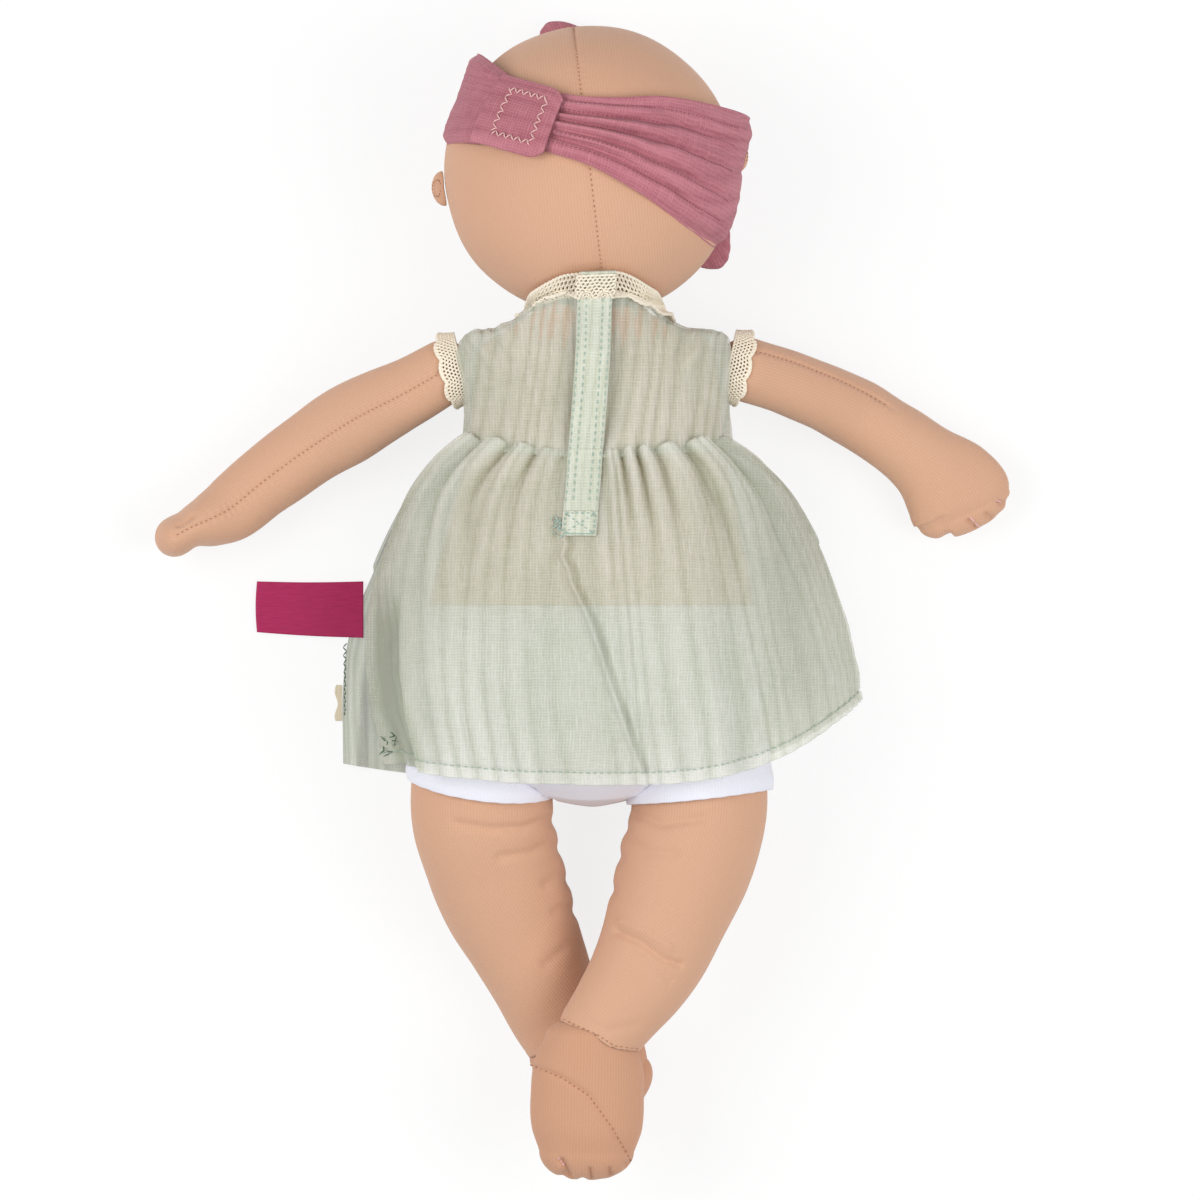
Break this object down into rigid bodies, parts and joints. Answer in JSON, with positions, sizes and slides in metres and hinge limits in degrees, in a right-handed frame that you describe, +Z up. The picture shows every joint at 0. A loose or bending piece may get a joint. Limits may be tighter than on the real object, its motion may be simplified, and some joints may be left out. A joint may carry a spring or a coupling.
{
  "type": "soft baby doll",
  "caption": "Soft stuffed baby doll lying face down in a gathered dress, white brief and lace trims, with a wide headband; soft-jointed neck, shoulders, hips and ankles.",
  "frame": {"origin": "under the middle of the doll's bounding box, on the floor it lies on", "axes": "+Y towards the head, +X towards the doll's right side, +Z up out of the doll's back"},
  "size_m": [0.308, 0.4198, 0.109],
  "materials": {
    "jersey_skin": "cotton jersey, fine vertical knit",
    "thread": "embroidery thread",
    "mouth_thread": "embroidery thread",
    "gauze_rose": "crinkled double gauze",
    "gauze_sage": "crinkled double gauze",
    "crochet_cream": "crochet lace",
    "jersey_white": "cotton jersey",
    "satin_ribbon": "woven satin ribbon",
    "hook_and_loop": "hook and loop tape"
  },
  "bodies": {
    "torso": {"torso": "jersey_skin", "brief": "jersey_white", "brief_waistband": "jersey_white", "bodice_back": "gauze_sage", "bodice_front": "gauze_sage", "skirt_back": "gauze_sage", "skirt_front": "gauze_sage", "lace_collar": "crochet_cream", "lace_armhole_left": "crochet_cream", "lace_armhole_right": "crochet_cream", "placket_box_end": "gauze_sage", "closure_loop_tape": "hook_and_loop", "skirt_patch": "crochet_cream"},
    "neck": {"neck": "jersey_skin"},
    "head": {"head": "jersey_skin", "ear_left": "jersey_skin", "ear_right": "jersey_skin", "nose": "jersey_skin", "eye_left": "thread", "eye_right": "thread", "mouth": "mouth_thread", "headband": "gauze_rose", "band_loop_patch": "hook_and_loop", "bow_knot": "gauze_rose", "bow_loop_upper": "gauze_rose", "bow_loop_lower": "gauze_rose"},
    "band_tab": {"headband_tab": "gauze_rose", "band_hook_patch": "hook_and_loop"},
    "placket": {"placket_flap": "gauze_sage", "closure_hook_tape": "hook_and_loop"},
    "tag": {"ribbon_tag": "satin_ribbon"},
    "arm_left": {"arm_left": "jersey_skin"},
    "arm_right": {"arm_right": "jersey_skin"},
    "leg_left": {"leg_left": "jersey_skin", "brief_cuff_left": "jersey_white"},
    "leg_right": {"leg_right": "jersey_skin", "brief_cuff_right": "jersey_white"},
    "foot_left": {"foot_left": "jersey_skin"},
    "foot_right": {"foot_right": "jersey_skin"}
  },
  "joints": [
    {"name": "neck_tilt", "type": "hinge", "parent": "torso", "child": "neck", "pos_m": [0.00472, 0.09086, 0.049], "axis": [0, 0, 1], "range_deg": [-8, 8], "deforming": ["lace_collar"]},
    {"name": "head_turn", "type": "hinge", "parent": "neck", "child": "head", "pos_m": [0.00252, 0.15255, 0.056], "axis": [-0.1149, 0.9934, 0], "range_deg": [-30, 30], "deforming": ["lace_collar"]},
    {"name": "shoulder_left", "type": "hinge", "parent": "torso", "child": "arm_left", "pos_m": [-0.05028, 0.08085, 0.042], "axis": [0, 0, -1], "range_deg": [-8, 55], "deforming": ["lace_armhole_left"]},
    {"name": "shoulder_right", "type": "hinge", "parent": "torso", "child": "arm_right", "pos_m": [0.05922, 0.08185, 0.042], "axis": [0, 0, 1], "range_deg": [-16, 45], "deforming": ["lace_armhole_right"]},
    {"name": "hip_left", "type": "hinge", "parent": "torso", "child": "leg_left", "pos_m": [-0.03628, -0.05715, 0.043], "axis": [0, 0, -1], "range_deg": [0, 20], "deforming": ["brief"]},
    {"name": "hip_right", "type": "hinge", "parent": "torso", "child": "leg_right", "pos_m": [0.04122, -0.05715, 0.043], "axis": [0, 0, 1], "range_deg": [0, 35], "deforming": ["brief"]},
    {"name": "ankle_left", "type": "hinge", "parent": "leg_left", "child": "foot_left", "pos_m": [-0.00685, -0.1589, 0.0168], "axis": [0, 0, 1], "range_deg": [-20, 20]},
    {"name": "ankle_right", "type": "hinge", "parent": "leg_right", "child": "foot_right", "pos_m": [0.00196, -0.15736, 0.0504], "axis": [0, 0, 1], "range_deg": [-20, 20]},
    {"name": "band_tab_peel", "type": "hinge", "parent": "head", "child": "band_tab", "pos_m": [-0.03219, 0.17563, 0.09402], "axis": [-0.2857, -0.9583, 0], "range_deg": [0, 40]},
    {"name": "placket_peel", "type": "hinge", "parent": "torso", "child": "placket", "pos_m": [0.01192, 0.11585, 0.1025], "axis": [0.0795, 0.9796, 0.1844], "range_deg": [0, 35]},
    {"name": "tag_flap", "type": "hinge", "parent": "torso", "child": "tag", "pos_m": [-0.08023, -0.00415, 0.00235], "axis": [0, 1, 0], "range_deg": [0, 85]}
  ]
}
